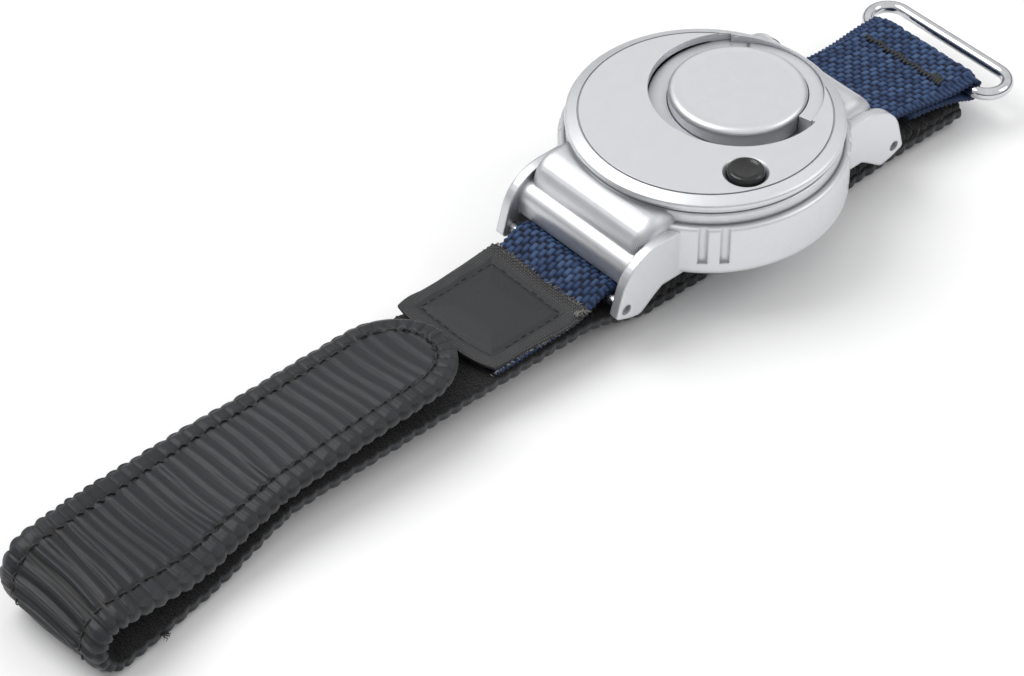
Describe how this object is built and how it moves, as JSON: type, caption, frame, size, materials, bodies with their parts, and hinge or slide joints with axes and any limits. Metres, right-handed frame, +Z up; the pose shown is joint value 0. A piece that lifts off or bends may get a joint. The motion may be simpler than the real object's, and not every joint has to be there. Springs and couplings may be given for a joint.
{
  "type": "wrist strap alarm",
  "caption": "Round silver personal alarm with a spiral sound well and push button, on a webbing and hook-and-loop wrist strap with a wire ring.",
  "frame": {"origin": "on the flat underside of the strap, on the axis of the round case", "axes": "+X along the strap towards the wire ring, +Z up through the case, -Y the side with the push button"},
  "size_m": [0.2363, 0.0568, 0.0289],
  "materials": {
    "silver_case": "satin silver paint on moulded plastic",
    "black_button": "gloss",
    "spring_steel": "bright",
    "black_plastic": "matt",
    "green_board": "solder mask",
    "copper_coil": "enamelled wire",
    "blue_sleeve": "printed sleeve",
    "brass_plate": "plain",
    "white_ceramic": "matt",
    "black_rubber": "matt",
    "lead_wire": "plain",
    "cell_steel": "bright",
    "blue_webbing": "coarse basket weave",
    "black_thread": "sewing thread",
    "black_vinyl": "coated cloth",
    "black_pile": "loop pile",
    "black_grosgrain": "ribbed",
    "black_hook": "hook tape",
    "chrome_wire": "polished"
  },
  "bodies": {
    "root": {"case_body": "silver_case", "top_cover": "silver_case", "horn_insert": "silver_case", "horn_cap": "silver_case", "button_spring": "spring_steel", "tact_switch": "black_plastic", "circuit_board": "green_board", "siren_chip": "black_plastic", "step_up_coil": "copper_coil", "driver_transistor": "black_plastic", "capacitor": "blue_sleeve", "piezo_plate": "brass_plate", "piezo_ceramic": "white_ceramic", "piezo_gasket": "black_rubber", "piezo_leads": "lead_wire", "battery_tray": "black_plastic", "button_cell_1": "cell_steel", "button_cell_2": "cell_steel", "button_cell_3": "cell_steel", "cell_contacts": "brass_plate", "cell_link": "brass_plate", "back_cover": "silver_case", "cover_seal": "black_rubber", "cover_screws": "spring_steel", "strap_pin_left": "spring_steel", "strap_pin_right": "spring_steel", "webbing": "blue_webbing", "bar_tack": "black_thread", "vinyl_patch": "black_vinyl", "patch_stitching": "black_thread", "wrist_pad": "black_pile", "loop_strap": "black_grosgrain"},
    "button": {"push_button": "black_button"},
    "tail": {"strap_tail": "black_grosgrain", "hook_tape": "black_hook", "tail_stitching": "black_thread"},
    "ring": {"slider_ring": "chrome_wire"}
  },
  "joints": [
    {"name": "button_press", "type": "slide", "parent": "root", "child": "button", "axis": [0, 0, -1], "range_m": [0, 0.0008], "stiffness_N_per_m": 300, "springref_m": -0.002, "deforming": ["button_spring"]},
    {"name": "tail_peel", "type": "hinge", "parent": "root", "child": "tail", "pos_m": [-0.146, -0.0043, 0.01245], "axis": [0.0871, -0.9746, -0.2063], "range_deg": [0, 120]},
    {"name": "ring_swing", "type": "hinge", "parent": "root", "child": "ring", "pos_m": [0.0625, 0, 0.008], "axis": [0, -1, 0], "range_deg": [-30, 135]}
  ]
}
